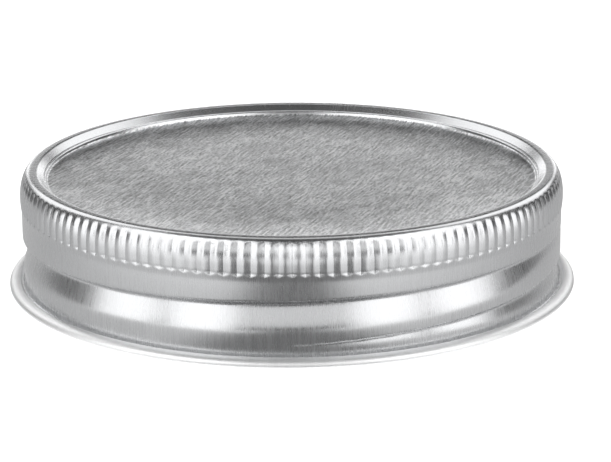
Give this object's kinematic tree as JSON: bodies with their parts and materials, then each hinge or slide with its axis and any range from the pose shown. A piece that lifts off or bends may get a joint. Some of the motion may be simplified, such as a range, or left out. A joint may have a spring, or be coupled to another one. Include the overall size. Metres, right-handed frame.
{
  "type": "screw-on jar lid",
  "caption": "Round sheet-metal jar lid with a recessed top, raised rim, fluted grip band, rolled thread in the wall, rolled foot flange and a foam sealing disc inside.",
  "frame": {"origin": "centre of the lid's open edge, on the plane it stands on", "axes": "+Z along the thread's axis, from the open edge up through the top panel; -Y is the side where the thread's groove begins"},
  "size_m": [0.0708, 0.0708, 0.0145],
  "materials": {
    "aluminium_sheet": "rolled sheet, semi-bright side wall, matt panel with fine diagonal grain",
    "foam": "matt closed-cell foam"
  },
  "bodies": {
    "root": {"lid_shell": "aluminium_sheet", "sealing_liner": "foam"}
  },
  "joints": []
}
